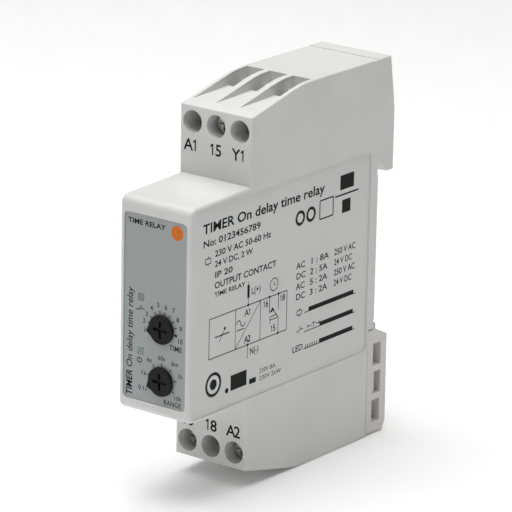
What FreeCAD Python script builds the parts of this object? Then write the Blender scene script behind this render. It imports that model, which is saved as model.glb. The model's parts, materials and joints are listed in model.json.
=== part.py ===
"""One-module delay timer for a 35 mm DIN rail.

Frame: the origin is the middle of the rail seat, +Y points back through the seat towards the rail,
+Z is up and +X is to the right of a person who faces the dials. All sizes are in millimetres.
"""
import FreeCAD, Part
import Sketcher

import os
import re

UP = FreeCAD.Vector(0, 0, 1)
ALONG = {"x": FreeCAD.Vector(1, 0, 0), "y": FreeCAD.Vector(0, 1, 0), "z": UP}
SMALL = 1e-4

DIMENSIONS = {
    # Housing, seen from the side
    "width": 17.8,
    "face_depth": 62.0,
    "step_depth": 43.3,
    "nose_half": 22.0,
    "nose_root_half": 22.6,
    "block_half": 36.7,
    "tall_half": 40.5,
    "slope_end": 26.6,
    "slope_round": 25.0,
    "nose_round": 1.7,
    "nose_side_round": 0.8,
    "edge_round": 0.25,
    "top_line_front": 2.6,
    "top_line_back": 0.9,
    "top_line_deep": 0.15,
    "wall": 1.3,
    "side_wall": 0.9,
    "fit_gap": 0.06,
    "over": 1.0,
    # Rail seat, hook and latch seat
    "seat_top": 15.9,
    "seat_low": 15.4,
    "seat_relief": 0.25,
    "hook_depth": 5.1,
    "hook_top": 3.4,
    "hook_bend": 29.0,
    "hook_low": 16.1,
    "lip_inner": 2.6,
    "lip_rise": 0.3,
    "groove_depth": 0.7,
    "groove_top": 18.0,
    "latch_front": 2.0,
    "latch_roof": 17.2,
    # Shallow print panels and holes of the nose
    "panel_deep": 0.3,
    "panel_front": 60.4,
    "panel_back": 2.7,
    "panel_half": 21.5,
    "panel_round": 1.3,
    "label_low": 19.5,
    "label_high": 18.95,
    "label_half": 7.85,
    "label_thick": 0.12,
    "label_round": 1.0,
    "window_x": -3.55,
    "window_half": 0.78,
    "led_wide": 0.6,
    "led_tall": 1.0,
    "led_deep": 0.8,
    "output_z": 1.95,
    "power_z": -9.15,
    "knob_x": 1.86,
    "time_z": -3.6,
    "range_z": -14.38,
    # Terminals
    "pitch": 5.9,
    "screw_z": 33.4,
    "screw_hole": 2.35,
    "guide_back": 38.5,
    "guide_half": 2.9,
    "chamber_top": 36.2,
    "chamber_back": 21.8,
    "rib_thick": 1.3,
    "rib_back": 24.5,
    "trough_half": 2.2,
    "trough_pitch": 5.8,
    "trough_front_z": 37.15,
    "trough_back_z": 37.95,
    "trough_end": 23.0,
    "wire_half": 2.15,
    "wire_front": 29.3,
    "cage_half": 2.0,
    "cage_wall": 0.45,
    "cage_front": 33.6,
    "cage_back": 24.9,
    "cage_low": 30.6,
    "cage_high": 36.0,
    "head_radius": 1.9,
    "head_front": 38.2,
    "head_back": 36.6,
    "slot_half_wide": 0.28,
    "slot_reach": 1.45,
    "slot_deep": 0.9,
    "thread_radius": 1.45,
    "thread_gap": 0.05,
    "screw_tip": 29.6,
    "screw_out": 2.4,
    "arm_step": 1.0,
    "strip_half": 1.25,
    "strip_thick": 0.8,
    "strip_front": 29.4,
    "strip_foot": 25.4,
    # Boards
    "board_thick": 1.6,
    "board_face": -5.7,
    "board_front": 52.6,
    "board_back": 5.2,
    "board_nose_half": 19.6,
    "board_half": 27.6,
    "board_step": 40.6,
    "control_front": 55.0,
    "control_half": 7.5,
    "control_tall": 19.6,
    "post_radius": 1.7,
    "pin_radius": 0.9,
    "pin_hole": 0.98,
    "post_front": 38.0,
    "post_back": 8.0,
    "post_z": 25.0,
    # Knobs and their electrical bodies
    "knob_radius": 3.0,
    "knob_point": 3.75,
    "pointer_spread": 55,
    "time_angle": 193,
    "range_angle": 205,
    "knob_thick": 0.55,
    "knob_lift": 0.18,
    "knob_chamfer": 0.15,
    "hub_radius": 2.6,
    "hub_back": 59.9,
    "stem_radius": 1.5,
    "stem_back": 57.2,
    "dial_hole": 2.75,
    "pot_half": 3.3,
    "pot_front": 59.7,
    "wiper_radius": 2.5,
    "wiper_front": 58.7,
    "wiper_thick": 0.4,
    "cross_half": 0.32,
    "cross_reach": 1.7,
    "cross_deep": 0.4,
    # Rail latch
    "latch_half": 8.8,
    "latch_top": 17.45,
    "latch_gap": 0.1,
    "latch_low": 40.3,
    "latch_back": 5.1,
    "latch_crown": 1.1,
    "latch_lean": 0.2,
    "latch_fall": 2.0,
    "latch_heel": 1.7,
    "catch_half": 6.5,
    "catch_front": 1.15,
    "catch_back": 3.85,
    "catch_top": 16.0,
    "catch_lead": 0.5,
    "catch_fall": 1.55,
    "catch_root": 20.0,
    "neck_half": 2.0,
    "slot_half": 2.15,
    "slot_top": 20.45,
    "slot_low": 38.6,
    "rib_low": 28.0,
    "rib_top": 20.5,
    "tee_half": 3.2,
    "tee_front": 4.6,
    "shelf_front": 7.2,
    "pocket_front": 0.0,
    "pocket_back": 2.8,
    "pocket_split": 1.3,
    "pocket_deep": 2.6,
    "pocket_shallow": 0.5,
    "pocket_tall": 4.9,
    "pocket_pitch": 6.2,
    "pocket_low": 38.0,
    "spring_radius": 1.25,
    "spring_wire": 0.2,
    "spring_y": -5.4,
    "spring_turns": 6,
    # Relay
    "relay_front": 16.5,
    "relay_back": 6.3,
    "relay_half": 14.2,
    "relay_base": 1.4,
    "relay_top": 7.3,
    "relay_wall": 0.5,
    "coil_x": 1.2,
    "coil_radius": 3.3,
    "coil_low": -12.0,
    "coil_high": 0.6,
    "flange_thick": 0.8,
    "flange_half": 3.6,
    "core_radius": 1.25,
    "yoke_thick": 1.0,
    "yoke_x": 5.4,
    "yoke_half": 3.0,
    "armature_z": 2.5,
    "armature_thick": 1.0,
    "armature_low": -2.2,
    "armature_half": 3.0,
    "leaf_z": 8.0,
    "leaf_thick": 0.3,
    "leaf_half": 1.5,
    "leaf_top": 5.6,
    "card_x": 0.4,
    "card_thick": 0.8,
    "contact_x": 4.6,
    "contact_radius": 1.1,
    "contact_thick": 0.5,
    "contact_travel": 0.9,
}


def link(formula):
    """Put the sheet's name before each alias in a formula."""
    return re.sub(
        r"[a-z]\w*",
        lambda word: "Dims." + word[0] if word[0] in DIMENSIONS else word[0],
        formula,
    )


def fill_sheet():
    """Write each driving dimension in its own row: name, value and alias."""
    cells = doc.addObject("Spreadsheet::Sheet", "Dims")
    for row, (alias, number) in enumerate(DIMENSIONS.items(), start=1):
        cells.set(f"A{row}", alias)
        cells.set(f"B{row}", str(number))
        cells.setAlias(f"B{row}", alias)
    return cells


doc = FreeCAD.newDocument("din_rail_timer")
sheet = fill_sheet()
doc.recompute()
nodes = {}


def value(formula):
    """Number that a formula gives with the sheet's present values."""
    return float(sheet.evalExpression(link(formula)))


def keep(name, item):
    """Name a finished sub-part: its label is its node's name."""
    item.Label = name
    nodes[name] = item
    return item


# ---------------------------------------------------------------- plain solids

def block(name, low, high):
    """Box between two opposite corners, each given as three formulas."""
    item = doc.addObject("Part::Box", name)
    for side, axis, start, end in zip(("Length", "Width", "Height"), "xyz", low, high):
        item.setExpression(side, link(f"({end}) - ({start})"))
        item.setExpression(f"Placement.Base.{axis}", link(start))
    return item


def rod(name, radius, axis, start, end, across):
    """Cylinder along x, y or z from start to end; across gives its other two coordinates in order."""
    item = doc.addObject("Part::Cylinder", name)
    item.Placement = FreeCAD.Placement(FreeCAD.Vector(), FreeCAD.Rotation(UP, ALONG[axis]))
    item.setExpression("Radius", link(radius))
    item.setExpression("Height", link(f"({end}) - ({start})"))
    others = iter(across)
    for letter in "xyz":
        place = start if letter == axis else next(others)
        item.setExpression(f"Placement.Base.{letter}", link(place))
    return item


def fuse(name, *pieces):
    """Union of the pieces."""
    item = doc.addObject("Part::MultiFuse", name)
    item.Shapes = list(pieces)
    return item


def cut(name, base, *tools):
    """Base with every tool taken away."""
    item = doc.addObject("Part::Cut", name)
    item.Base = base
    item.Tool = tools[0] if len(tools) == 1 else fuse(name + "_tools", *tools)
    return item


def group(name, *pieces):
    """Several separate solids that share one node."""
    item = doc.addObject("Part::Compound", name)
    item.Links = list(pieces)
    return item


# ---------------------------------------------------------------- part design

def new_body(name):
    return keep(name, doc.addObject("PartDesign::Body", name))


def new_sketch(body, plane, height="0"):
    """Sketch on an origin plane, moved along the plane's normal: YZ faces +X, XZ faces -Y."""
    item = body.newObject("Sketcher::SketchObject", f"{body.Name}_{plane}_sketch")
    support = next(f for f in body.Origin.OriginFeatures if f.Role == f"{plane}_Plane")
    item.AttachmentSupport = (support, [""])
    item.MapMode = "FlatFace"
    item.setExpression("AttachmentOffset.Base.z", link(height))
    return item


def bind_point(sketch, line, end, corner):
    """Tie one end of a line to the two formulas of a corner."""
    for kind, formula in zip(("DistanceX", "DistanceY"), corner):
        rule = Sketcher.Constraint(kind, -1, 1, line, end, value(formula))
        sketch.setExpression(f"Constraints[{sketch.addConstraint(rule)}]", link(formula))


def outline(sketch, corners):
    """Closed loop of straight sides through the corners, each a pair of formulas."""
    spots = [FreeCAD.Vector(value(x), value(y), 0) for x, y in corners]
    first = sketch.GeometryCount
    last = first + len(corners) - 1
    for start, end in zip(spots, spots[1:] + spots[:1]):
        sketch.addGeometry(Part.LineSegment(start, end), False)
    for line, corner in enumerate(corners, start=first):
        before = last if line == first else line - 1
        sketch.addConstraint(Sketcher.Constraint("Coincident", before, 2, line, 1))
        bind_point(sketch, line, 1, corner)


def rectangle(sketch, left, low, right, high):
    outline(sketch, [(left, low), (right, low), (right, high), (left, high)])


def circle(sketch, x, y, radius):
    spot = FreeCAD.Vector(value(x), value(y), 0)
    number = sketch.addGeometry(Part.Circle(spot, UP, value(radius)), False)
    bind_point(sketch, number, 3, (x, y))
    rule = sketch.addConstraint(Sketcher.Constraint("Radius", number, value(radius)))
    sketch.setExpression(f"Constraints[{rule}]", link(radius))


def extrude(kind, sketch, length, reverse=False, side="One side"):
    """Pad or Pocket of a sketch; stops if it leaves the body's volume as it was."""
    body = sketch.getParentGeoFeatureGroup()
    doc.recompute()
    before = body.Shape.Volume if body.Tip else 0.0
    item = body.newObject(f"PartDesign::{kind}", f"{body.Name}_{kind.lower()}")
    item.Profile = sketch
    item.Reversed = reverse
    item.SideType = side
    item.setExpression("Length", link(length))
    doc.recompute()
    change = body.Shape.Volume - before
    if (change if kind == "Pad" else -change) < SMALL:
        raise RuntimeError(f"{item.Name} changes nothing")
    return item


def pad(sketch, length, **options):
    return extrude("Pad", sketch, length, **options)


def pocket(sketch, length, **options):
    return extrude("Pocket", sketch, length, **options)


def dress(body, kind, size, wanted):
    """Fillet or Chamfer on every edge of the body whose middle point is wanted."""
    base = body.Tip
    names = [
        f"Edge{number}"
        for number, edge in enumerate(base.Shape.Edges, start=1)
        if wanted(edge.CenterOfGravity, edge.BoundBox)
    ]
    item = body.newObject(f"PartDesign::{kind}", f"{body.Name}_{kind.lower()}")
    item.Base = (base, names)
    item.setExpression("Radius" if kind == "Fillet" else "Size", link(size))
    doc.recompute()
    return item


def near(number, formula):
    return abs(number - value(formula)) < SMALL


# ---------------------------------------------------------------- housing

def side_outline():
    """Corners of the housing in the YZ plane, clockwise from the lower front."""
    return [
        ("-face_depth", "-nose_half"),
        ("-face_depth", "nose_half"),
        ("-step_depth", "nose_root_half"),
        ("-step_depth", "block_half"),
        ("-slope_end", "tall_half"),
        ("hook_top", "tall_half"),
        ("hook_depth", "hook_bend"),
        ("hook_depth", "hook_low"),
        ("lip_inner + lip_rise", "hook_low"),
        ("lip_inner", "hook_low + lip_rise"),
        ("groove_depth", "groove_top"),
        ("-seat_relief", "groove_top - lip_rise"),
        ("-seat_relief", "seat_top"),
        ("0", "seat_top"),
        ("0", "-seat_low"),
        ("-seat_relief", "-seat_low"),
        ("-seat_relief", "-latch_roof"),
        ("-latch_front", "-latch_roof"),
        ("-latch_front", "-tall_half"),
        ("-slope_end", "-tall_half"),
        ("-step_depth", "-block_half"),
        ("-step_depth", "-nose_root_half"),
    ]


def inner_outline(gap):
    """Corners of the hollow, moved in by the gap all round."""
    inset = f"(wall + {gap})"
    return [
        (f"-face_depth + {inset}", f"-nose_half + {inset}"),
        (f"-face_depth + {inset}", f"nose_half - {inset}"),
        (f"-step_depth + {inset}", f"nose_half - {inset}"),
        (f"-step_depth + {inset}", f"chamber_top - {gap}"),
        (f"-chamber_back + {gap}", f"chamber_top - {gap}"),
        (f"-chamber_back + {gap}", f"tall_half - {inset}"),
        (f"hook_top - {inset}", f"tall_half - {inset}"),
        (f"hook_depth - {inset}", "hook_bend"),
        (f"hook_depth - {inset}", f"groove_top + {inset}"),
        (f"-{inset}", f"groove_top + {inset}"),
        (f"-{inset}", f"-latch_roof + {inset}"),
        (f"-latch_front - {inset}", f"-latch_roof + {inset}"),
        (f"-latch_front - {inset}", f"-tall_half + {inset}"),
        (f"-chamber_back + {gap}", f"-tall_half + {inset}"),
        (f"-chamber_back + {gap}", f"-chamber_top + {gap}"),
        (f"-step_depth + {inset}", f"-chamber_top + {gap}"),
        (f"-step_depth + {inset}", f"-nose_half + {inset}"),
    ]


POSTS = [(y, z) for y in ("-post_front", "-post_back") for z in ("-post_z", "post_z")]
TERMINAL_AXES = ("-pitch", "0", "pitch")
TROUGH_AXES = ("-trough_pitch", "0", "trough_pitch")


def housing_blank(body):
    """Solid block of the housing with its rounded edges."""
    sketch = new_sketch(body, "YZ")
    outline(sketch, side_outline())
    pad(sketch, "width", side="Symmetric")
    dress(body, "Fillet", "nose_round", lambda middle, box: near(middle.y, "-face_depth")
          and near(abs(middle.z), "nose_half"))
    dress(body, "Fillet", "slope_round", lambda middle, box: near(middle.y, "-slope_end")
          and near(abs(middle.z), "tall_half"))
    dress(body, "Fillet", "nose_side_round", lambda middle, box: near(abs(middle.x), "width / 2")
          and near(middle.y, "-face_depth"))
    dress(body, "Fillet", "edge_round", lambda middle, box: (
        near(abs(middle.x), "width / 2") and middle.y > value("-step_depth") - SMALL
        or near(middle.y, "-step_depth") and near(abs(middle.z), "block_half")
        or near(middle.y, "hook_top") and near(middle.z, "tall_half")
    ))
    sketch = new_sketch(body, "YZ")
    rectangle(sketch, "-top_line_front", "tall_half - top_line_deep", "-top_line_back", "tall_half + over")
    pocket(sketch, "width + over", side="Symmetric")


def open_inside(body):
    """Hollow that opens on the left, with the terminals' guides, ribs and the board's posts."""
    sketch = new_sketch(body, "YZ", "-width / 2")
    outline(sketch, inner_outline("0"))
    pocket(sketch, "width - side_wall", reverse=True)

    sketch = new_sketch(body, "XZ", "guide_back")
    for sign in ("", "-"):
        rectangle(sketch, "-width / 2 + side_wall + fit_gap", f"{sign}screw_z - guide_half",
                  "width / 2 - side_wall / 2", f"{sign}screw_z + guide_half")
    pad(sketch, "step_depth - wall / 2 - guide_back")

    sketch = new_sketch(body, "XZ", "rib_back")
    for sign in ("", "-"):
        for middle in ("-pitch / 2", "pitch / 2"):
            rectangle(sketch, f"{middle} - rib_thick / 2", f"{sign}(screw_z - guide_half)",
                      f"{middle} + rib_thick / 2", f"{sign}(chamber_top + fit_gap)")
    pad(sketch, "step_depth - wall / 2 - rib_back")

    sketch = new_sketch(body, "YZ", "board_face")
    for y, z in POSTS:
        circle(sketch, y, z, "post_radius")
    pad(sketch, "width / 2 - side_wall / 2 - board_face")
    sketch = new_sketch(body, "YZ", "board_face")
    for y, z in POSTS:
        circle(sketch, y, z, "pin_hole")
    pocket(sketch, "3 * pin_radius + 1.5", reverse=True)


def open_terminals(body):
    """Screw holes in the front and wire troughs with their entries above and below."""
    sketch = new_sketch(body, "XZ", "step_depth + over")
    for sign in ("", "-"):
        for x in TERMINAL_AXES:
            circle(sketch, x, f"{sign}screw_z", "screw_hole")
    pocket(sketch, "step_depth + 2 * over - guide_back")

    for x in TROUGH_AXES:
        sketch = new_sketch(body, "YZ", x)
        for sign in ("", "-"):
            outline(sketch, [
                ("-step_depth - over", f"{sign}trough_front_z"),
                ("-trough_end", f"{sign}trough_back_z"),
                ("-trough_end", f"{sign}(tall_half + over)"),
                ("-step_depth - over", f"{sign}(tall_half + over)"),
            ])
        pocket(sketch, "2 * trough_half", side="Symmetric")

    sketch = new_sketch(body, "XY")
    for x in TROUGH_AXES:
        rectangle(sketch, f"{x} - wire_half", "-wire_front",
                  f"{x} + wire_half", "-wire_front + 2 * wire_half")
    pocket(sketch, "2 * tall_half + 2 * over", side="Symmetric")


def open_nose(body):
    """Print panel on the right side, label recess, dial holes and windows in the nose's front."""
    sketch = new_sketch(body, "YZ", "width / 2")
    rectangle(sketch, "-panel_front", "-panel_half", "-panel_back", "panel_half")
    pocket(sketch, "panel_deep")
    dress(body, "Fillet", "panel_round", lambda middle, box: near(middle.x, "width / 2 - panel_deep / 2")
          and near(box.XLength, "panel_deep") and near(abs(middle.z), "panel_half"))

    sketch = new_sketch(body, "XZ", "face_depth")
    rectangle(sketch, "-label_half", "-label_low", "label_half", "label_high")
    pocket(sketch, "panel_deep")
    dress(body, "Fillet", "label_round", lambda middle, box: near(middle.y, "-face_depth + panel_deep / 2")
          and near(box.YLength, "panel_deep") and near(abs(middle.x), "label_half"))

    sketch = new_sketch(body, "XZ", "face_depth")
    for z in ("time_z", "range_z"):
        circle(sketch, "knob_x", z, "dial_hole")
    for z in ("output_z", "power_z"):
        rectangle(sketch, "window_x - window_half", f"{z} - window_half",
                  "window_x + window_half", f"{z} + window_half")
    pocket(sketch, "2 * wall")


def open_back(body):
    """Slot in the lower back wall for the latch's rib."""
    sketch = new_sketch(body, "XZ", "latch_front + 2 * wall")
    rectangle(sketch, "-slot_half", "-slot_low", "slot_half", "-slot_top")
    pocket(sketch, "3 * wall")


def housing_shell():
    body = new_body("housing_shell")
    housing_blank(body)
    open_inside(body)
    open_terminals(body)
    open_nose(body)
    open_back(body)


def side_cover():
    """Flat cover that closes the hollow on the left; its pins pass the board into the posts."""
    body = new_body("side_cover")
    sketch = new_sketch(body, "YZ", "-width / 2")
    outline(sketch, inner_outline("fit_gap"))
    pad(sketch, "side_wall")
    sketch = new_sketch(body, "YZ", "-width / 2 + side_wall / 2")
    for y, z in POSTS:
        circle(sketch, y, z, "post_radius")
    pad(sketch, "width / 2 - side_wall / 2 + board_face - board_thick")
    sketch = new_sketch(body, "YZ", "-width / 2 + side_wall / 2")
    for y, z in POSTS:
        circle(sketch, y, z, "pin_radius")
    pad(sketch, "width / 2 - side_wall / 2 + board_face + 3 * pin_radius")
    sketch = new_sketch(body, "YZ", "-width / 2")
    rectangle(sketch, "-panel_front + wall", "-nose_half + 3 * wall", "-panel_back - wall",
              "nose_half - 3 * wall")
    pocket(sketch, "panel_deep", reverse=True)


def front_label():
    """Thin printed plate in the nose's recess, with holes for the dials and windows."""
    body = new_body("front_label")
    edge = "fit_gap"
    sketch = new_sketch(body, "XZ", "face_depth - panel_deep")
    rectangle(sketch, f"-label_half + {edge}", f"-label_low + {edge}",
              f"label_half - {edge}", f"label_high - {edge}")
    pad(sketch, "label_thick")
    dress(body, "Fillet", "label_round", lambda middle, box: near(box.YLength, "label_thick")
          and near(abs(middle.x), f"label_half - {edge}"))
    sketch = new_sketch(body, "XZ", "face_depth")
    for z in ("time_z", "range_z"):
        circle(sketch, "knob_x", z, "dial_hole")
    for z in ("output_z", "power_z"):
        rectangle(sketch, "window_x - window_half", f"{z} - window_half",
                  "window_x + window_half", f"{z} + window_half")
    pocket(sketch, "2 * panel_deep")


# ---------------------------------------------------------------- dials and lights

def knob(name, z, angle):
    """Flat dial with a pointer, a hub in the front wall, a stem in the pot and a screwdriver cross."""
    body = new_body(name)
    front = "face_depth - panel_deep + label_thick + knob_lift"

    def spot(reach, turn):
        return f"knob_x + {reach} * cos({turn})", f"{z} + {reach} * sin({turn})"

    sketch = new_sketch(body, "XZ", front)
    circle(sketch, "knob_x", z, "knob_radius")
    pad(sketch, "knob_thick")
    sketch = new_sketch(body, "XZ", front)
    outline(sketch, [
        spot("knob_point", angle),
        spot("(knob_radius - 0.1)", f"{angle} + pointer_spread"),
        spot("(knob_radius - 0.1)", f"{angle} - pointer_spread"),
    ])
    pad(sketch, "knob_thick")
    for radius, back in (("hub_radius", "hub_back"), ("stem_radius", "stem_back")):
        sketch = new_sketch(body, "XZ", back)
        circle(sketch, "knob_x", z, radius)
        pad(sketch, f"{front} + knob_thick / 2 - {back}")
    dress(body, "Chamfer", "knob_chamfer", lambda middle, box: near(middle.y, f"-({front}) - knob_thick"))
    for wide, tall in (("cross_reach", "cross_half"), ("cross_half", "cross_reach")):
        sketch = new_sketch(body, "XZ", f"{front} + knob_thick")
        rectangle(sketch, f"knob_x - {wide}", f"{z} - {tall}", f"knob_x + {wide}", f"{z} + {tall}")
        pocket(sketch, "cross_deep")


def pot(name, z):
    """Hollow body behind a dial, bored for the stem, with room for the wiper."""
    shell = block(name + "_block", ("knob_x - pot_half", "-pot_front", f"{z} - pot_half"),
                  ("knob_x + pot_half", "-control_front", f"{z} + pot_half"))
    bore = rod(name + "_bore", "stem_radius + thread_gap", "y", "-pot_front - over", "-stem_back + 0.3",
               ("knob_x", z))
    room = rod(name + "_room", "wiper_radius + 0.3", "y", "-wiper_front - 0.2",
               "-wiper_front + wiper_thick + 0.2", ("knob_x", z))
    keep(name, cut(name, shell, bore, room))


def wiper(name, z):
    """Contact disc on the stem of a dial."""
    disc = rod(name + "_disc", "wiper_radius", "y", "-wiper_front", "-wiper_front + wiper_thick",
               ("knob_x", z))
    hole = rod(name + "_hole", "stem_radius", "y", "-wiper_front - over", "-wiper_front + over",
               ("knob_x", z))
    keep(name, cut(name, disc, hole))


def light(name, z):
    """Lamp on the control board and the clear guide that carries its light to the front."""
    keep("led_" + name, block(
        "led_" + name,
        ("window_x - led_wide", "-control_front - led_deep", f"{z} - led_tall"),
        ("window_x + led_wide", "-control_front", f"{z} + led_tall"),
    ))
    slim = "window_half - fit_gap"
    keep("guide_" + name, block(
        "guide_" + name,
        (f"window_x - ({slim})", "-face_depth + panel_deep - label_thick", f"{z} - ({slim})"),
        (f"window_x + ({slim})", "-control_front - 0.9", f"{z} + ({slim})"),
    ))


# ---------------------------------------------------------------- terminals

def terminal_screw(name, x, z, out):
    """Cheese-head screw with a cross slot; out moves it towards its hole's mouth."""
    body = new_body(name)
    for radius, back, length in (
        ("head_radius", "head_back", "head_front - head_back"),
        ("thread_radius", "screw_tip", "head_back - screw_tip + slot_half_wide"),
    ):
        sketch = new_sketch(body, "XZ", f"{back} + {out}")
        circle(sketch, x, z, radius)
        pad(sketch, length)
    for wide, tall in (("slot_reach", "slot_half_wide"), ("slot_half_wide", "slot_reach")):
        sketch = new_sketch(body, "XZ", f"head_front + {out}")
        rectangle(sketch, f"{x} - {wide}", f"{z} - {tall}", f"{x} + {wide}", f"{z} + {tall}")
        pocket(sketch, "slot_deep")
    dress(body, "Chamfer", "0.25", lambda middle, box: near(middle.y, f"-head_front - {out}")
          and near(box.XLength, "2 * head_radius"))


def terminal_cage(name, x, sign):
    """Square loop that the screw pulls forward to press the wire on the strip."""
    low = "-cage_high" if sign else "cage_low"
    body = new_body(name)
    sketch = new_sketch(body, "XY", low)
    rectangle(sketch, f"{x} - cage_half", "-cage_front", f"{x} + cage_half", "-cage_back")
    pad(sketch, "cage_high - cage_low")
    sketch = new_sketch(body, "XY", low)
    rectangle(sketch, f"{x} - cage_half + cage_wall", "-cage_front + 3 * cage_wall",
              f"{x} + cage_half - cage_wall", "-cage_back - 2 * cage_wall")
    pocket(sketch, "cage_high - cage_low", reverse=True)
    sketch = new_sketch(body, "XZ", "cage_front + over")
    circle(sketch, x, f"{sign}screw_z", "thread_radius + thread_gap")
    pocket(sketch, "4 * cage_wall + over")
    dress(body, "Fillet", "0.35", lambda middle, box: near(box.ZLength, "cage_high - cage_low")
          and near(abs(middle.x - value(x)), "cage_half"))


def contact_strip(name, x, sign, row):
    """Upright strip through the cage, with an arm to the board at its own height."""
    foot = f"strip_foot - {row} * 1.7"
    root = foot if row else "board_half + 0.4"
    arm_top = f"{foot} + arm_step" if row else f"{root} + 0.6"

    def upright(low, high):
        return (f"-({high})", f"-({low})") if sign else (low, high)

    front, back = "-strip_front", "-strip_front + strip_thick"
    low, high = upright(root, "cage_high")
    plate = block(name + "_plate", (f"{x} - strip_half", front, low), (f"{x} + strip_half", back, high))
    low, high = upright(foot, arm_top)
    arm = block(name + "_arm", ("board_face", front, low), (f"{x} + strip_half", back, high))
    keep(name, fuse(name, plate, arm))


def terminals():
    """Six terminals: three above with marks A1, 15, Y1 and three below with 16, 18, A2."""
    rows = (("", ("a1", "15", "y1")), ("-", ("16", "18", "a2")))
    for sign, marks in rows:
        for row, (mark, x) in enumerate(zip(marks, TERMINAL_AXES)):
            out = "screw_out" if mark in ("15", "16", "a2") else "0"
            terminal_screw("screw_" + mark, x, f"{sign}screw_z", out)
            terminal_cage("cage_" + mark, x, sign)
            contact_strip("strip_" + mark, x, sign, row)


# ---------------------------------------------------------------- rail latch

def rail_latch():
    """Foot that slides down to free the rail: side cheeks with three pockets and a middle catch."""
    body = new_body("rail_latch")
    sketch = new_sketch(body, "YZ")
    outline(sketch, [
        ("-latch_front + latch_gap", "-latch_top"),
        ("0", "-latch_top"),
        ("latch_crown", "-latch_top - latch_lean"),
        ("latch_back - latch_lean", "-latch_top - latch_fall"),
        ("latch_back", "-latch_low + latch_heel"),
        ("latch_back - latch_crown", "-latch_low"),
        ("-latch_front + latch_gap", "-latch_low"),
    ])
    pad(sketch, "2 * latch_half", side="Symmetric")

    sketch = new_sketch(body, "YZ")
    outline(sketch, [
        ("catch_front", "-catch_root"),
        ("catch_front", "-catch_top - catch_lead / 5"),
        ("catch_front + catch_lead", "-catch_top"),
        ("catch_back", "-catch_top - catch_fall"),
        ("catch_back", "-catch_root"),
    ])
    pad(sketch, "2 * catch_half", side="Symmetric")

    for reach, back in (
        ("neck_half", "latch_front - 2 * latch_gap"),
        ("tee_half", "latch_front + wall + latch_gap"),
    ):
        sketch = new_sketch(body, "XZ", back)
        rectangle(sketch, f"-{reach}", "-rib_low", reach, "-rib_top")
        pad(sketch, f"tee_front - ({back})")
    sketch = new_sketch(body, "XZ", "tee_front - 0.2")
    rectangle(sketch, "-tee_half", "-rib_low", "tee_half", "-rib_low + 1.5")
    pad(sketch, "shelf_front - tee_front + 0.2")

    dress(body, "Fillet", "edge_round", lambda middle, box: near(abs(middle.x), "latch_half")
          and middle.y > value("-latch_front + latch_gap") + SMALL)

    for side, reverse in (("latch_half", False), ("-latch_half", True)):
        sketch = new_sketch(body, "YZ", side)
        for step, front in enumerate(("pocket_front", "pocket_split", "pocket_front")):
            low = f"-pocket_low + {step} * pocket_pitch"
            rectangle(sketch, front, low, "pocket_back", f"{low} + pocket_tall")
        pocket(sketch, "pocket_deep", reverse=reverse)
        sketch = new_sketch(body, "YZ", side)
        low = "-pocket_low + pocket_pitch"
        rectangle(sketch, "pocket_front", low, "pocket_back", f"{low} + pocket_tall")
        pocket(sketch, "pocket_shallow", reverse=reverse)


def latch_spring():
    """Coil spring between the housing's floor and the latch's shelf."""
    low = "-tall_half + wall + spring_wire"
    tall = "tall_half - wall - rib_low - 2 * spring_wire"
    path = doc.addObject("Part::Helix", "spring_path")
    path.setExpression("Height", link(tall))
    path.setExpression("Pitch", link(f"({tall}) / spring_turns"))
    path.setExpression("Radius", link("spring_radius"))
    ring = doc.addObject("Part::Circle", "spring_section")
    ring.Placement = FreeCAD.Placement(FreeCAD.Vector(), FreeCAD.Rotation(UP, ALONG["y"]))
    ring.setExpression("Radius", link("spring_wire"))
    ring.setExpression("Placement.Base.x", link("spring_radius"))
    item = doc.addObject("Part::Sweep", "latch_spring")
    item.Sections = [ring]
    item.Spine = path
    item.Solid = True
    item.Frenet = True
    item.setExpression("Placement.Base.y", link("spring_y"))
    item.setExpression("Placement.Base.z", link(low))
    keep("latch_spring", item)


# ---------------------------------------------------------------- boards

def main_board():
    """Board beside the cover: narrow in the nose, taller behind it, with a hole at each post."""
    body = new_body("main_board")
    sketch = new_sketch(body, "YZ", "board_face")
    outline(sketch, [
        ("-board_front", "-board_nose_half"),
        ("-board_front", "board_nose_half"),
        ("-board_step", "board_nose_half"),
        ("-board_step", "board_half"),
        ("-board_back", "board_half"),
        ("-board_back", "-board_half"),
        ("-board_step", "-board_half"),
        ("-board_step", "-board_nose_half"),
    ])
    pad(sketch, "board_thick", reverse=True)
    sketch = new_sketch(body, "YZ", "board_face")
    for y, z in POSTS:
        circle(sketch, y, z, "pin_hole")
    pocket(sketch, "2 * board_thick")


def control_board():
    """Small board behind the nose's front, and the header that joins it to the main board."""
    back = "-control_front + board_thick"
    keep("control_board", block("control_board", ("-control_half", "-control_front", "-control_tall"),
                                ("control_half", back, "control_tall")))
    keep("board_header", block("board_header", ("board_face", back, "-6.4"),
                               ("board_face + 2.5", f"{back} + 2.5", "6.4")))
    pins = [
        rod(f"header_pin_{number}", "0.32", "y", f"{back} + 2.5", f"{back} + 6.5",
            ("board_face + 1.25", f"{number} * 2.54 - 5.08"))
        for number in range(5)
    ]
    keep("header_pins", group("header_pins", *pins))


def on_board(name, front, low, size):
    """Box that stands on the board's right face; front and low are its corner in Y and Z."""
    height, deep, tall = size
    keep(name, block(name, ("board_face", f"{front}", f"{low}"),
                     (f"board_face + {height}", f"{front} + {deep}", f"{low} + {tall}")))


def row_of_rods(name, count, radius, length, first, step):
    """Axial components side by side, lying along Z on the board."""
    y, z = first
    pieces = [
        rod(f"{name}_{number}", f"{radius}", "z", f"{z}", f"{z} + {length}",
            (f"board_face + {radius} + 0.1", f"{y} + {number} * {step}"))
        for number in range(count)
    ]
    keep(name, group(name, *pieces))


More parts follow.
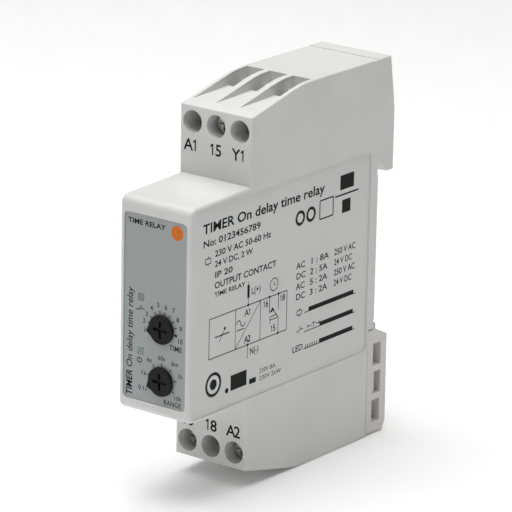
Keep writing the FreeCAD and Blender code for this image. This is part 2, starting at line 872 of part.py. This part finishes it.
def components():
    """Supply and logic parts on the main board."""
    on_board("film_capacitor", -38.0, -23.0, (10.5, 5.0, 13.0))
    on_board("bridge_rectifier", -31.0, -20.8, (2.6, 6.2, 6.2))
    on_board("regulator", -23.5, -20.5, (1.8, 3.6, 6.5))
    on_board("controller_chip", -30.0, 1.5, (1.6, 4.0, 10.0))
    keep("bulk_capacitor", rod("bulk_capacitor", "4", "z", "-12.5", "-0.5", ("board_face + 4.1", "-23")))
    keep("small_capacitor", rod("small_capacitor", "2.5", "x", "board_face", "board_face + 8",
                                ("-37", "8")))
    keep("varistor", rod("varistor", "4.5", "z", "15.5", "18.5", ("board_face + 4.6", "-24")))
    keep("fuse_resistor", rod("fuse_resistor", "1.7", "z", "-8", "2", ("board_face + 1.8", "-36")))
    row_of_rods("resistors", 4, 0.9, 5.5, (-50.0, -16.0), 2.6)
    row_of_rods("diodes", 3, 0.75, 4.2, (-49.0, 10.0), 2.4)


# ---------------------------------------------------------------- relay

def relay_box():
    """Base, case and the two fixed contacts on their posts."""
    floor = "board_face + relay_base"
    keep("relay_base", block("relay_base", ("board_face", "-relay_front", "-relay_half"),
                             (floor, "-relay_back", "relay_half")))
    outer = block("relay_case_outer", (floor, "-relay_front", "-relay_half"),
                  ("relay_top", "-relay_back", "relay_half"))
    inner = block("relay_case_inner", (f"{floor} - over", "-relay_front + relay_wall",
                                       "-relay_half + relay_wall"),
                  ("relay_top - relay_wall", "-relay_back - relay_wall", "relay_half - relay_wall"))
    keep("relay_case", cut("relay_case", outer, inner))
    middle = "-(relay_front + relay_back) / 2"
    gap = "(leaf_thick / 2 + contact_thick + 0.02)"
    for name, low, blade in (
        ("contact_rest", f"leaf_z + {gap}", f"leaf_z + {gap} + contact_thick"),
        ("contact_work", f"leaf_z - {gap} - contact_travel - contact_thick",
         f"leaf_z - {gap} - contact_travel - 2 * contact_thick"),
    ):
        tip = rod(name + "_tip", "contact_radius", "z", low, f"{low} + contact_thick",
                  ("contact_x", middle))
        arm = block(name + "_arm", ("contact_x - contact_radius", f"{middle} - contact_radius", blade),
                    ("contact_x + contact_radius", f"{middle} + 4.2", f"{blade} + contact_thick"))
        post = block(name + "_post", (floor, f"{middle} + 1.8", blade),
                     ("contact_x + contact_radius", f"{middle} + 4.2", f"{blade} + contact_thick"))
        keep(name, fuse(name, tip, arm, post))


def relay_coil():
    """Bobbin, winding, core and the bent yoke that carries the armature."""
    middle = "-(relay_front + relay_back) / 2"
    axis = ("coil_x", middle)
    spool = rod("bobbin_tube", "core_radius + 0.8", "z", "coil_low", "coil_high", axis)
    flanges = [
        block(f"bobbin_{name}", ("coil_x - flange_half", f"{middle} - flange_half", low),
              ("coil_x + flange_half", f"{middle} + flange_half", f"{low} + flange_thick"))
        for name, low in (("low", "coil_low"), ("high", "coil_high - flange_thick"))
    ]
    bore = rod("bobbin_bore", "core_radius", "z", "coil_low - over", "coil_high + over", axis)
    keep("relay_bobbin", cut("relay_bobbin", fuse("bobbin_solid", spool, *flanges), bore))
    copper = rod("winding_outside", "coil_radius", "z", "coil_low + flange_thick",
                 "coil_high - flange_thick", axis)
    inside = rod("winding_inside", "core_radius + 0.8", "z", "coil_low", "coil_high", axis)
    keep("relay_winding", cut("relay_winding", copper, inside))
    keep("relay_core", rod("relay_core", "core_radius", "z", "coil_low", "armature_z - 0.5", axis))
    side = block("yoke_side", ("yoke_x", f"{middle} - yoke_half", "coil_low - yoke_thick"),
                 ("yoke_x + yoke_thick", f"{middle} + yoke_half", "armature_z - 0.15"))
    foot = block("yoke_foot", ("coil_x - core_radius", f"{middle} - yoke_half", "coil_low - yoke_thick"),
                 ("yoke_x + 0.1", f"{middle} + yoke_half", "coil_low"))
    keep("relay_yoke", fuse("relay_yoke", side, foot))


def relay_movement():
    """Armature hinged on the yoke, the card it carries and the leaf with the moving contact."""
    middle = "-(relay_front + relay_back) / 2"
    keep("relay_armature", block(
        "relay_armature",
        ("armature_low", f"{middle} - armature_half", "armature_z"),
        ("yoke_x + yoke_thick", f"{middle} + armature_half", "armature_z + armature_thick"),
    ))
    keep("relay_card", block(
        "relay_card",
        ("card_x - card_thick / 2", f"{middle} - 1.2", "armature_z + armature_thick + 0.1"),
        ("card_x + card_thick / 2", f"{middle} + 1.2", "leaf_z - leaf_thick / 2 - 0.1"),
    ))
    leaf = block("leaf_blade", ("board_face + relay_base + 0.1", f"{middle} - leaf_half",
                                "leaf_z - leaf_thick / 2"),
                 ("leaf_top", f"{middle} + leaf_half", "leaf_z + leaf_thick / 2"))
    tip = rod("leaf_tip", "contact_radius", "z", "leaf_z - leaf_thick / 2 - contact_thick",
              "leaf_z + leaf_thick / 2 + contact_thick", ("contact_x", middle))
    keep("relay_leaf", fuse("relay_leaf", leaf, tip))


# ---------------------------------------------------------------- whole timer

def build():
    housing_shell()
    side_cover()
    front_label()
    for name, z in (("time", "time_z"), ("range", "range_z")):
        knob(name + "_knob", z, name + "_angle")
        wiper(name + "_wiper", z)
    pot("time_pot", "time_z")
    pot("range_switch", "range_z")
    light("output", "output_z")
    light("power", "power_z")
    terminals()
    rail_latch()
    latch_spring()
    main_board()
    control_board()
    components()
    relay_box()
    relay_coil()
    relay_movement()


def check():
    """Stop if any object failed or any sub-part has no sound shape."""
    doc.recompute()
    for item in doc.Objects:
        if "Invalid" in item.State or "Error" in item.State:
            raise RuntimeError(f"{item.Label} failed: {item.State}")
    for name, item in nodes.items():
        if item.Shape.isNull() or not item.Shape.isValid():
            raise RuntimeError(f"{name} has no valid shape")


def write():
    os.makedirs("parts", exist_ok=True)
    for name, item in nodes.items():
        item.Shape.exportStep(f"parts/{name}.step")


build()
check()
write()
print(len(nodes), "nodes")
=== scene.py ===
"""Looks of the DIN rail timer: materials, printed marks, light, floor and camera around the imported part.

Everything is in metres in the part's frame: the origin is the middle of the rail seat, +Y points to the
rail, +Z is up, and the dials face -Y.
"""
import json
import math

import bmesh
import bpy
from mathutils import Matrix, Vector


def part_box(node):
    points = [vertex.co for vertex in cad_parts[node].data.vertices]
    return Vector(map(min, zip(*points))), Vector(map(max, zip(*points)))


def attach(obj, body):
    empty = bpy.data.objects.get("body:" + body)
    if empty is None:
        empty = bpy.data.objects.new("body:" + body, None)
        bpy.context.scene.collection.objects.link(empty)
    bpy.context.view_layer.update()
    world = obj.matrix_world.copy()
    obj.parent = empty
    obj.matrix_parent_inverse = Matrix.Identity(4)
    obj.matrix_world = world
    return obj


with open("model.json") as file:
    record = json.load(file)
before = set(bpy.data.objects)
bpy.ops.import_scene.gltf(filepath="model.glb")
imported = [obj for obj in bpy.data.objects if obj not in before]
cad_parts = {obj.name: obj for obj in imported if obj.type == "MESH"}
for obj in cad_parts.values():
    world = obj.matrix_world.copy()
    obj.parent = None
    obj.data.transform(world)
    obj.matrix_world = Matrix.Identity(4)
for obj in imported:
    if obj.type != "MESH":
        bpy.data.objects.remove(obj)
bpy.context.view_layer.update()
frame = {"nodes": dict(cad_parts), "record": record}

MM = 0.001
INK = 0.012 * MM
STROKE = 0.2
CAP_SHARE = 0.69
PANEL_DEEP = 0.3 * MM
TERMINAL_FRONT = -43.3 * MM
DIAL_X = 1.86
FLOOR_HALF = 6.0
FLOOR_GAP = 0.2 * MM


def corners(box):
    """Two corners of a box as plain lists."""
    return [[float(number) for number in corner] for corner in box]


# ---------------------------------------------------------------- camera

AZIMUTH = math.radians(37.05)
ELEVATION = math.radians(17.14)
ROLL = math.radians(1.18)
DISTANCE = 815.2 * MM
LENS = 283.7
TARGET = Vector((0, -29 * MM, 0))
SIDEWAYS = -0.23 * MM
RAISED = 3.27 * MM


def make_camera():
    back = Vector((
        math.sin(AZIMUTH) * math.cos(ELEVATION),
        -math.cos(AZIMUTH) * math.cos(ELEVATION),
        math.sin(ELEVATION),
    ))
    right = Vector((math.cos(AZIMUTH), math.sin(AZIMUTH), 0))
    up = back.cross(right)
    turn = Matrix((right, up, back)).transposed().to_4x4() @ Matrix.Rotation(ROLL, 4, "Z")
    data = bpy.data.cameras.new("camera")
    data.lens = LENS
    data.clip_start = 10 * MM
    camera = bpy.data.objects.new("camera", data)
    spot = TARGET + back * DISTANCE + right * SIDEWAYS + up * RAISED
    camera.matrix_world = Matrix.Translation(spot) @ turn
    bpy.context.scene.collection.objects.link(camera)
    bpy.context.scene.camera = camera


# ---------------------------------------------------------------- materials

def new_material(name, color, roughness, metallic=0.0, **sockets):
    """Material with a Principled shader; returns it with its node tree and shader."""
    material = bpy.data.materials.new(name)
    material.use_nodes = True
    tree = material.node_tree
    shader = next(n for n in tree.nodes if n.type == "BSDF_PRINCIPLED")
    shader.inputs["Base Color"].default_value = (*color, 1)
    shader.inputs["Roughness"].default_value = roughness
    shader.inputs["Metallic"].default_value = metallic
    for socket, amount in sockets.items():
        shader.inputs[socket.replace("_", " ")].default_value = amount
    return material, tree, shader


def noise(tree, scale, detail=2.0, stretch=(1, 1, 1)):
    """Noise in the part's own space; scale is in features per metre."""
    place = tree.nodes.new("ShaderNodeTexCoord")
    mapping = tree.nodes.new("ShaderNodeMapping")
    mapping.inputs["Scale"].default_value = stretch
    texture = tree.nodes.new("ShaderNodeTexNoise")
    texture.inputs["Scale"].default_value = scale
    texture.inputs["Detail"].default_value = detail
    tree.links.new(place.outputs["Object"], mapping.inputs["Vector"])
    tree.links.new(mapping.outputs["Vector"], texture.inputs["Vector"])
    return texture.outputs["Fac"]


def spread(tree, source, low, high, start=0.3, end=0.7):
    """Map a texture to a range of numbers or colours."""
    if isinstance(low, tuple):
        ramp = tree.nodes.new("ShaderNodeValToRGB")
        ramp.color_ramp.elements[0].position = start
        ramp.color_ramp.elements[1].position = end
        ramp.color_ramp.elements[0].color = (*low, 1)
        ramp.color_ramp.elements[1].color = (*high, 1)
        tree.links.new(source, ramp.inputs["Fac"])
        return ramp.outputs["Color"]
    scale = tree.nodes.new("ShaderNodeMapRange")
    scale.inputs["From Min"].default_value = start
    scale.inputs["From Max"].default_value = end
    scale.inputs["To Min"].default_value = low
    scale.inputs["To Max"].default_value = high
    tree.links.new(source, scale.inputs["Value"])
    return scale.outputs["Result"]


def bump(tree, shader, source, height, strength=0.5):
    """Raise the surface by up to height metres where the source is bright."""
    node = tree.nodes.new("ShaderNodeBump")
    node.inputs["Distance"].default_value = height
    node.inputs["Strength"].default_value = strength
    tree.links.new(source, node.inputs["Height"])
    tree.links.new(node.outputs["Normal"], shader.inputs["Normal"])


def shade(color, factor):
    return tuple(min(1.0, part * factor) for part in color)


def moulded(name, color, roughness, grain=9000, height=0.012 * MM, change=0.03, **sockets):
    """Moulded plastic: eroded grain, slight cloudiness and uneven sheen."""
    material, tree, shader = new_material(name, color, roughness, **sockets)
    cloud = noise(tree, 90, 3)
    fine = noise(tree, grain, 3)
    tint = spread(tree, cloud, shade(color, 1 - change), shade(color, 1 + change))
    tree.links.new(tint, shader.inputs["Base Color"])
    tree.links.new(spread(tree, fine, roughness - 0.06, roughness + 0.06), shader.inputs["Roughness"])
    bump(tree, shader, fine, height)
    return material


def metal(name, color, roughness, stretch=(1, 1, 1), grain=4000, change=0.12):
    """Plated or drawn metal with fine streaks and stains."""
    material, tree, shader = new_material(name, color, roughness, metallic=1.0)
    streak = noise(tree, grain, 4, stretch)
    stain = noise(tree, 700, 3)
    tint = spread(tree, stain, shade(color, 1 - change), shade(color, 1 + change))
    tree.links.new(tint, shader.inputs["Base Color"])
    tree.links.new(spread(tree, streak, roughness * 0.7, roughness * 1.4), shader.inputs["Roughness"])
    bump(tree, shader, streak, 0.004 * MM, 0.4)
    return material


def film(name, color):
    """Printed polyester film: even colour, very fine texture."""
    return moulded(name, color, 0.42, grain=16000, height=0.004 * MM, change=0.015)


def lens(name, color):
    """Light guide of clear plastic with faint streaks along it."""
    material, tree, shader = new_material(name, color, 0.22, Transmission_Weight=0.15, IOR=1.49)
    streak = noise(tree, 2600, 3, (1, 1, 0.2))
    tint = spread(tree, streak, shade(color, 0.8), shade(color, 1.2))
    tree.links.new(tint, shader.inputs["Base Color"])
    bump(tree, shader, streak, 0.01 * MM, 0.3)
    return material


def ink(name, color):
    """Pad-printed ink, duller than the plastic and not quite even."""
    material, tree, shader = new_material(name, color, 0.6, Specular_IOR_Level=0.15)
    patch = noise(tree, 5000, 3)
    tint = spread(tree, patch, shade(color, 0.8), shade(color, 1.35))
    tree.links.new(tint, shader.inputs["Base Color"])
    bump(tree, shader, patch, 0.002 * MM)
    return material


MATERIALS = {
    "housing": moulded("housing_plastic", (0.66, 0.66, 0.655), 0.46),
    "label": film("label_film", (0.335, 0.362, 0.356)),
    "dial": moulded("dial_plastic", (0.004, 0.004, 0.004), 0.5, grain=5000, height=0.02 * MM,
                    Specular_IOR_Level=0.2),
    "lens_output": lens("lens_grey", (0.24, 0.246, 0.24)),
    "lens_power": lens("lens_green", (0.27, 0.318, 0.288)),
    "led": moulded("led_body", (0.75, 0.72, 0.50), 0.35),
    "latch": moulded("latch_plastic", (0.66, 0.655, 0.64), 0.44),
    "screw": metal("zinc_screw", (0.62, 0.61, 0.58), 0.28),
    "cage": metal("zinc_cage", (0.56, 0.56, 0.53), 0.34),
    "strip": metal("tinned_brass", (0.66, 0.58, 0.42), 0.30, stretch=(1, 1, 6)),
    "spring": metal("spring_wire", (0.42, 0.42, 0.43), 0.25),
    "board": moulded("board_green", (0.02, 0.12, 0.045), 0.33, grain=3000, change=0.12),
    "black_part": moulded("black_epoxy", (0.018, 0.018, 0.018), 0.5),
    "pins": metal("gold_pins", (0.80, 0.60, 0.25), 0.22),
    "blue_part": moulded("blue_epoxy", (0.02, 0.07, 0.28), 0.32, grain=1500, height=0.03 * MM),
    "film_part": moulded("yellow_case", (0.52, 0.36, 0.05), 0.34, grain=2000),
    "can": moulded("can_sleeve", (0.02, 0.025, 0.05), 0.28, grain=2500),
    "resistor": moulded("resistor_lacquer", (0.46, 0.32, 0.18), 0.35, grain=2500, change=0.1),
    "relay_plastic": moulded("relay_plastic", (0.03, 0.03, 0.035), 0.42),
    "bobbin": moulded("nylon", (0.72, 0.68, 0.55), 0.45, change=0.05),
    "copper": metal("enamelled_copper", (0.62, 0.25, 0.10), 0.3, stretch=(1, 1, 30), grain=900),
    "iron": metal("nickel_iron", (0.50, 0.50, 0.49), 0.36),
}
BLACK = ink("black_ink", (0.006, 0.006, 0.006))
GREY_INK = ink("grey_ink", (0.02, 0.021, 0.021))
ORANGE = ink("orange_ink", (0.62, 0.16, 0.025))


def dress_nodes():
    """Give every CAD node the material of its slot."""
    for row in frame["record"]["subparts"]:
        node = frame["nodes"][row["node"]]
        node.data.materials.clear()
        node.data.materials.append(MATERIALS[row["material_slot"]])


# ---------------------------------------------------------------- printed marks

class Print:
    """Flat print on one face: everything drawn is gathered in one thin mesh.

    across and up are the directions of the print's own x and y; its points are in millimetres.
    """

    def __init__(self, name, origin, across, up, ink_material, slot):
        self.name = name
        self.slot = slot
        self.material = ink_material
        out = Vector(across).cross(Vector(up))
        self.place = Matrix.Translation(Vector(origin)) @ Matrix(
            (Vector(across), Vector(up), out)).transposed().to_4x4()
        self.mesh = bmesh.new()

    def add(self, data, spot, turn=0.0):
        """Put a mesh whose units are millimetres at a spot, and drop its data."""
        data.transform(Matrix.Translation((*spot, 0)) @ Matrix.Rotation(turn, 4, "Z"))
        self.mesh.from_mesh(data)
        bpy.data.meshes.remove(data)

    def text(self, words, spot, size, turn=0.0, span=None, bold=0.0, align="LEFT", slant=0.0):
        """Words with a cap height of size at the spot, stretched to the span if one is given."""
        curve = bpy.data.curves.new("words", "FONT")
        curve.body = words
        curve.size = size / CAP_SHARE
        curve.offset = bold
        curve.shear = slant
        curve.resolution_u = 3
        curve.extrude = 0.5
        curve.align_x = align
        item = bpy.data.objects.new("words", curve)
        bpy.context.scene.collection.objects.link(item)
        bpy.context.view_layer.update()
        data = bpy.data.meshes.new_from_object(item.evaluated_get(bpy.context.evaluated_depsgraph_get()))
        bpy.data.objects.remove(item)
        bpy.data.curves.remove(curve)
        if span:
            ends = [vertex.co.x for vertex in data.vertices]
            data.transform(Matrix.Diagonal((span / (max(ends) - min(ends)), 1, 1, 1)))
        self.add(data, spot, turn)

    def one(self, spot, size):
        """Digit 1 with its flag, standing on the spot."""
        x, y = spot
        thick, reach = size * 0.13, size * 0.24
        self.shape([(x + thick / 2, y), (x + thick / 2, y + size), (x - thick * 0.3, y + size),
                    (x - reach, y + size * 0.82), (x - reach, y + size * 0.68),
                    (x - thick / 2, y + size * 0.76), (x - thick / 2, y)])

    def pair(self, mark, spot, size):
        """Two characters side by side about the spot, with a drawn 1."""
        for letter, side in zip(mark, (-0.34, 0.34)):
            x = spot[0] + side * size
            if letter == "1":
                self.one((x + size * 0.06, spot[1]), size)
            else:
                self.text(letter, (x, spot[1]), size, align="CENTER", bold=size * 0.022)

    def shape(self, points):
        """Filled polygon through the points."""
        piece = bmesh.new()
        corners = [piece.verts.new((x, y, -0.5)) for x, y in points]
        face = piece.faces.new(corners)
        raised = bmesh.ops.extrude_face_region(piece, geom=[face])
        moved = [v for v in raised["geom"] if isinstance(v, bmesh.types.BMVert)]
        bmesh.ops.translate(piece, verts=moved, vec=(0, 0, 1))
        bmesh.ops.recalc_face_normals(piece, faces=piece.faces)
        data = bpy.data.meshes.new("shape")
        piece.to_mesh(data)
        piece.free()
        self.add(data, (0, 0))

    def line(self, start, end, thick=STROKE):
        """Straight stroke."""
        a, b = Vector(start), Vector(end)
        side = (b - a).normalized().orthogonal() * (thick / 2)
        self.shape([a + side, a - side, b - side, b + side])

    def path(self, points, thick=STROKE, closed=False):
        ends = points[1:] + points[:1] if closed else points[1:]
        for start, end in zip(points, ends):
            self.line(start, end, thick)

    def ring(self, middle, radius, thick=STROKE, start=0.0, end=360.0, parts=36):
        """Ring, or an arc of it, in degrees."""
        steps = [math.radians(start + (end - start) * i / parts) for i in range(parts + 1)]
        spots = [(middle[0] + radius * math.cos(a), middle[1] + radius * math.sin(a)) for a in steps]
        self.path(spots, thick)

    def disc(self, middle, radius, parts=32):
        steps = [math.tau * i / parts for i in range(parts)]
        self.shape([(middle[0] + radius * math.cos(a), middle[1] + radius * math.sin(a)) for a in steps])

    def finish(self):
        """Turn the gathered print into one piece on the housing."""
        data = bpy.data.meshes.new(self.name)
        self.mesh.transform(self.place @ Matrix.Diagonal((MM, MM, INK, 1)))
        self.mesh.to_mesh(data)
        self.mesh.free()
        data.materials.append(self.material)
        item = bpy.data.objects.new(self.name, data)
        bpy.context.scene.collection.objects.link(item)
        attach(item, "housing")


def polar(middle, radius, degrees):
    a = math.radians(degrees)
    return middle[0] + radius * math.cos(a), middle[1] + radius * math.sin(a)


time_low, time_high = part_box("time_knob")
range_low, range_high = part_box("range_knob")
label_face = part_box("front_label")[0].y
shell_low, shell_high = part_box("housing_shell")
TIME_DIAL = (DIAL_X, (time_low.z + time_high.z) / 2 / MM)
RANGE_DIAL = (DIAL_X, (range_low.z + range_high.z) / 2 / MM)


def scale_mark(sheet, dial, degrees, thick=STROKE):
    """Short radial stroke of a dial's scale."""
    sheet.line(polar(dial, 3.05, degrees), polar(dial, 3.8, degrees), thick)


def coil_symbol(sheet, x, y, size, thick=STROKE):
    """Relay coil: a box with a lead above and below."""
    wide, tall = size * 0.5, size * 0.32
    sheet.path([(x - wide, y - tall), (x + wide, y - tall), (x + wide, y + tall), (x - wide, y + tall)],
               thick, closed=True)
    sheet.line((x, y + tall), (x, y + size * 0.62), thick)
    sheet.line((x, y - tall), (x, y - size * 0.62), thick)


def contact_symbol(sheet, x, y, size, thick=STROKE):
    """Open contact."""
    sheet.line((x - size * 0.7, y - size * 0.2), (x - size * 0.2, y - size * 0.2), thick)
    sheet.line((x - size * 0.2, y - size * 0.2), (x + size * 0.2, y + size * 0.4), thick)
    sheet.line((x + size * 0.1, y), (x + size * 0.7, y), thick)


def front_print():
    """Scales and words of the label, and the orange mark at its upper right corner."""
    face = (0, label_face, 0)
    sheet = Print("label_print", face, (1, 0, 0), (0, 0, 1), GREY_INK, "label")
    numbers = ((-2.5, -4.6), (-2.7, -2.7), (-2.05, -1.25), (-0.85, 0.25), (0.8, 1.22), (2.72, 1.06),
               (4.62, 0.84), (5.7, -0.9), (6.45, -2.6), (6.3, -5.2))
    for number, spot in enumerate(numbers, start=1):
        sheet.text(str(number), (spot[0], spot[1] - 0.45), 0.95, align="CENTER", bold=0.02)
    for angle in (168, 146, 122, 101, 80, 58, 37, 15):
        scale_mark(sheet, TIME_DIAL, angle)
    scale_mark(sheet, TIME_DIAL, -10, 0.5)
    sheet.text("TIME", (3.65, -7.45), 1.1, span=3.15, bold=0.02)
    words = (("0.1s", (-2.95, -16.7), 2.2), ("1s", (-2.95, -13.45), 1.1), ("6s", (-1.33, -10.55), 1.2),
             ("60s", (1.74, -9.6), 1.8), ("6m", (5.05, -10.1), 1.7), ("1h", (6.28, -12.4), 1.0),
             ("10h", (5.71, -17.1), 1.7))
    for word, spot, span in words:
        sheet.text(word, (spot[0] - span / 2, spot[1] - 0.45), 0.92, span=span, bold=0.015)
    for angle in (168, 127, 90, 51, 12, -30):
        scale_mark(sheet, RANGE_DIAL, angle)
    sheet.text("RANGE", (2.4, -19.0), 1.0, span=4.3, bold=0.02)
    contact_symbol(sheet, -3.7, -0.4, 1.6, 0.2)
    coil_symbol(sheet, -3.75, -11.1, 1.1, 0.18)
    sheet.finish()

    black = Print("label_title", face, (1, 0, 0), (0, 0, 1), BLACK, "label")
    black.text("TIMER", (-5.6, -19.0), 1.5, turn=math.pi / 2, span=5.2, bold=0.045, slant=0.15)
    black.text("On delay time relay", (-5.6, -13.2), 1.45, turn=math.pi / 2, span=16.6, bold=0.02,
               slant=0.15)
    black.text("TIME RELAY", (-7.0, 16.75), 1.0, span=9.4, bold=0.035)
    black.finish()

    orange = Print("label_mark", face, (1, 0, 0), (0, 0, 1), ORANGE, "label")
    orange.disc((5.25, 16.7), 1.5)
    orange.finish()


def terminal_print():
    """Terminal numbers beside the screw holes."""
    face = (0, TERMINAL_FRONT, 0)
    sheet = Print("terminal_print", face, (1, 0, 0), (0, 0, 1), BLACK, "housing")
    for base, marks in ((27.45, ("A1", "15", "Y1")), (-30.1, ("16", "18", "A2"))):
        for mark, x in zip(marks, (-6.05, -0.1, 5.85)):
            sheet.pair(mark, (x, base), 2.35)
    sheet.finish()


def wiring_diagram(sheet):
    """Block diagram of supply, converter and change-over contact."""
    left, right, low, high = -55.5, -30.2, -10.05, -1.75
    first, second, middle = -47.05, -38.95, -43.0
    sheet.path([(left, low), (right, low), (right, high), (left, high)], 0.2, closed=True)
    sheet.line((first, low), (first, high), 0.17)
    sheet.line((second, low), (second, high), 0.17)
    sheet.line((first, low), (second, high), 0.17)
    sheet.pair("A1", (middle, high - 2.15), 1.4)
    sheet.pair("A2", (middle, low + 0.55), 1.4)
    sheet.line((middle, high), (middle, high + 4.9), 0.16)
    sheet.line((middle, low), (middle, low - 2.9), 0.16)
    sheet.line((middle, high + 1.5), (middle, high + 4.2), 0.75)
    for z in (low, high):
        sheet.disc((middle, z), 0.3, 12)
    sheet.text("L(+)", (middle + 0.95, high + 2.0), 1.35, span=2.9, bold=0.03)
    sheet.text("N(-)", (middle + 0.75, low - 2.3), 1.35, span=2.8, bold=0.03)
    sheet.line((-53.6, -5.9), (-49.0, -5.9), 0.26)
    sheet.line((-52.3, -7.1), (-50.2, -4.5), 0.2)
    sheet.disc((-50.5, -4.7), 0.33, 12)
    for shift in (-0.7, 0.7):
        start = 0 if shift < 0 else 180
        sheet.ring((-45.35 + shift, -5.0), 0.7, 0.22, start, start + 180, 10)
    sheet.line((-46.6, -6.3), (-44.1, -6.3), 0.22)
    sheet.pair("16", (-37.3, high - 1.85), 1.35)
    sheet.pair("18", (-31.75, high - 1.85), 1.35)
    sheet.pair("15", (-34.7, low + 0.75), 1.35)
    sheet.path([(-35.95, high), (-35.95, -5.0), (-35.0, -5.0)], 0.2)
    sheet.line((-33.0, high), (-33.0, -5.0), 0.2)
    sheet.path([(-33.0, low), (-33.0, -6.7), (-34.9, -4.6)], 0.2)
    for spot in ((-35.95, high), (-33.0, high), (-33.0, low)):
        sheet.disc(spot, 0.3, 12)
    sheet.shape([(-35.6, -4.9), (-34.3, -4.9), (-34.95, -4.1)])
    sheet.line((-35.7, -6.0), (-33.6, -6.0), 0.2)
    sheet.line((-35.7, -6.7), (-33.3, -6.7), 0.2)
    sheet.line((-35.7, -6.0), (-35.7, -7.5), 0.2)
    sheet.ring((-34.6, 0.55), 1.3, 0.2)
    sheet.path([(-34.6, 1.3), (-34.6, 0.45), (-34.0, 0.45)], 0.16)


def timing_diagram(sheet):
    """Supply, output and lamp over time."""
    for base, start in ((-7.93, -22.75), (-12.05, -18.85), (-15.72, -18.9)):
        sheet.line((-24.2, base), (-6.6, base), 0.2)
        sheet.line((start, base + 0.42), (-7.35, base + 0.42), 0.9)
    coil_symbol(sheet, -25.9, -7.5, 1.5, 0.2)
    contact_symbol(sheet, -25.6, -11.2, 1.6, 0.2)
    sheet.text("LED", (-28.0, -15.67), 1.3, span=3.4, bold=0.03)
    sheet.line((-22.9, -11.2), (-21.6, -11.2), 0.2)
    sheet.line((-20.2, -11.2), (-19.0, -11.2), 0.2)
    sheet.line((-22.9, -11.6), (-22.9, -10.8), 0.2)
    sheet.line((-19.0, -11.6), (-19.0, -10.8), 0.2)
    sheet.text("T", (-20.9, -11.7), 1.0, align="CENTER", bold=0.03)
    for step in range(7):
        x = -23.5 + step * 0.62
        sheet.line((x, -15.7), (x, -14.95), 0.22)


def side_print():
    """Ratings, diagrams and neutral marks on the right side panel; x runs back along +Y."""
    panel_x = shell_high.x - PANEL_DEEP
    sheet = Print("side_print", (panel_x, 0, 0), (0, 1, 0), (0, 0, 1), BLACK, "housing")
    sheet.text("TIMER On delay time relay", (-57.97, 16.15), 1.95, span=39.8, bold=0.06)
    sheet.text("No: 0123456789", (-57.9, 13.4), 1.35, span=18.3, bold=0.04)
    coil_symbol(sheet, -56.2, 10.4, 1.7, 0.2)
    rows = (("230 V AC 50-60 Hz", 10.8, 1.25, 18.1), ("24 V DC, 2 W", 8.7, 1.2, 12.2),
            ("IP 20", 6.45, 1.2, 5.6), ("OUTPUT CONTACT", 4.22, 1.3, 20.0), ("TIME RELAY", 2.53, 0.9, 10.0))
    for words, base, size, span in rows:
        sheet.text(words, (-54.05, base), size, span=span, bold=0.03 * size)
    rows = (("AC", "1 : 8A", "250 V AC"), ("DC", "2 : 5A", "24 V DC"),
            ("AC", "5 : 2A", "250 V AC"), ("DC", "3 : 2A", "24 V DC"))
    for number, (kind, current, voltage) in enumerate(rows):
        base = 1.88 - number * 2.18
        sheet.text(kind, (-27.25, base), 1.28, span=3.0, bold=0.03)
        sheet.text(current, (-22.6, base), 1.28, span=5.9, bold=0.03)
        sheet.text(voltage, (-14.36, base), 1.28, span=7.2 if number % 2 == 0 else 6.1, bold=0.03)
    wiring_diagram(sheet)
    timing_diagram(sheet)
    for middle in (-26.3, -22.7):
        sheet.ring((middle, 12.5), 1.3, 0.65)
    sheet.path([(-19.7, 10.7), (-15.2, 10.7), (-15.2, 14.6), (-19.7, 14.6)], 0.3, closed=True)
    sheet.shape([(-12.9, 18.4), (-8.2, 18.4), (-8.2, 15.3), (-12.9, 15.3)])
    sheet.line((-14.6, 14.25), (-6.5, 14.25), 0.35)
    sheet.shape([(-12.1, 13.1), (-9.2, 13.1), (-9.2, 10.3), (-12.1, 10.3)])
    sheet.ring((-53.9, -15.6), 2.25, 0.65)
    sheet.disc((-53.9, -15.6), 1.1)
    sheet.shape([(-48.3, -18.4), (-43.1, -18.4), (-43.1, -15.2), (-48.3, -15.2)])
    sheet.disc((-49.5, -18.0), 0.55)
    sheet.shape([(-42.2, -18.6), (-40.0, -18.6), (-40.0, -17.5), (-42.2, -17.5)])
    sheet.text("230V 8A", (-38.95, -17.15), 0.95, span=5.3)
    sheet.text("230V 2kW", (-38.9, -18.65), 0.95, span=7.2)
    sheet.finish()


# ---------------------------------------------------------------- stage

def make_floor():
    """Pale floor just below the timer, wide enough to fill every view."""
    data = bpy.data.meshes.new("floor")
    z = shell_low.z - FLOOR_GAP
    spots = [(x * FLOOR_HALF, y * FLOOR_HALF, z) for x, y in ((-1, -1), (1, -1), (1, 1), (-1, 1))]
    data.from_pydata(spots, [], [(0, 1, 2, 3)])
    data.materials.append(moulded("floor_paint", (0.93, 0.93, 0.93), 0.6, grain=300, change=0.01,
                                  Emission_Color=(1, 1, 1, 1), Emission_Strength=0.08))
    item = bpy.data.objects.new("floor", data)
    bpy.context.scene.collection.objects.link(item)


def area_light(name, spot, size, power):
    data = bpy.data.lights.new(name, "AREA")
    data.size = size
    data.energy = power
    item = bpy.data.objects.new(name, data)
    item.location = spot
    item.rotation_euler = (Vector(spot) - TARGET).to_track_quat("Z", "Y").to_euler()
    bpy.context.scene.collection.objects.link(item)


def make_light():
    world = bpy.data.worlds.new("studio")
    world.use_nodes = True
    sky = world.node_tree.nodes["Background"]
    sky.inputs["Color"].default_value = (1, 1, 1, 1)
    sky.inputs["Strength"].default_value = 0.12
    bpy.context.scene.world = world
    area_light("top", (-0.06, -0.1, 0.9), 1.0, 12.5)
    area_light("left", (-0.9, -0.5, 0.5), 0.6, 0.9)
    area_light("right", (0.9, -0.4, 0.4), 0.6, 0.1)
    bpy.context.scene.view_settings.view_transform = "Standard"


make_camera()
dress_nodes()
front_print()
terminal_print()
side_print()
make_floor()
make_light()
